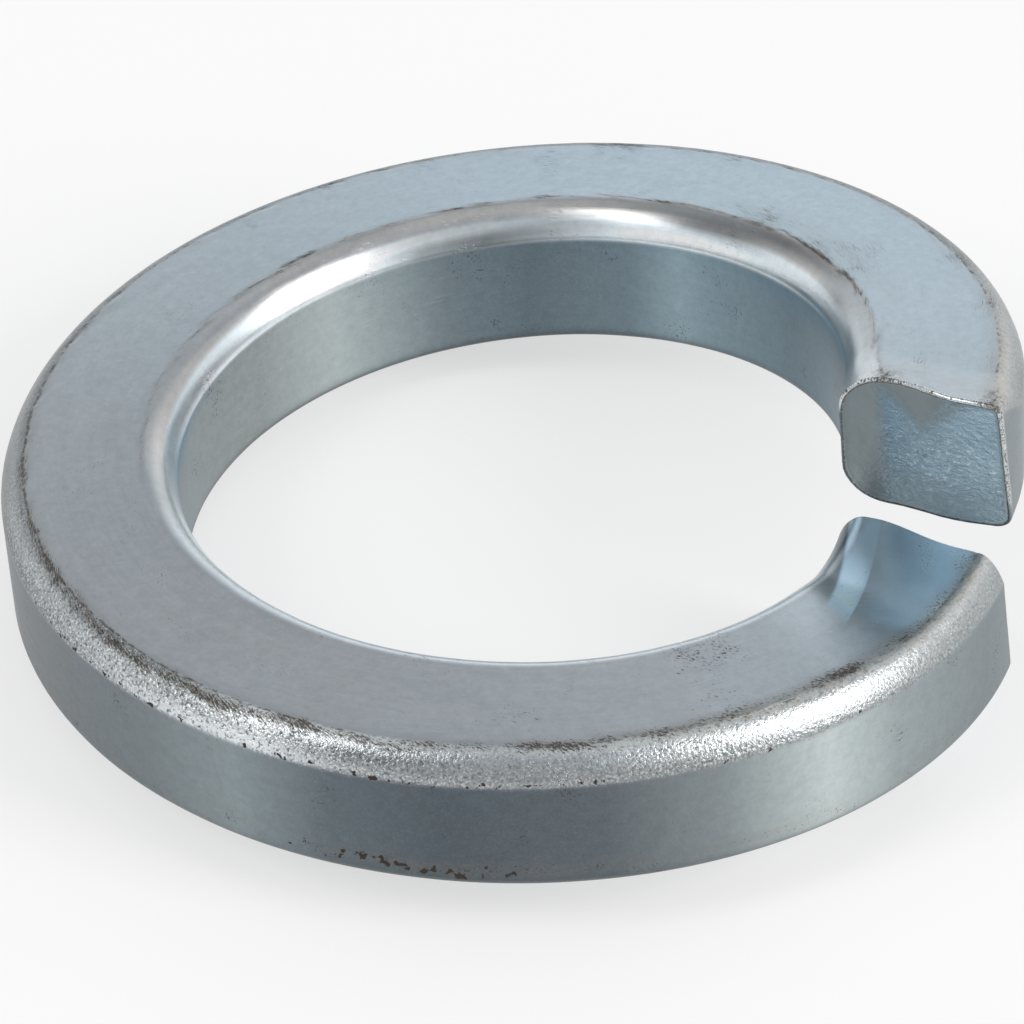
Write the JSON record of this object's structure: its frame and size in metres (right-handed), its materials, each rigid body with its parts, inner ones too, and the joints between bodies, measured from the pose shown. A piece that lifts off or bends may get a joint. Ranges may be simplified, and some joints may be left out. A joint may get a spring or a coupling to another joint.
{
  "type": "helical spring lock washer",
  "caption": "Zinc-plated helical spring lock washer for an M30 bolt: one sprung coil of keystone bar, sheared off at both ends",
  "frame": {"origin": "on the bore's axis, at the height of the lowest edge of the lower end", "axes": "+Z along the bore's axis, from the lower end to the upper one; +X points out through the cut ends"},
  "size_m": [0.0465, 0.0464, 0.0154],
  "materials": {
    "zinc_plate": "bright blue-white zinc plating on spring steel: satin flats, rough bright corner roundings, brown specks along their edges"
  },
  "bodies": {
    "root": {"washer": "zinc_plate"}
  },
  "joints": []
}
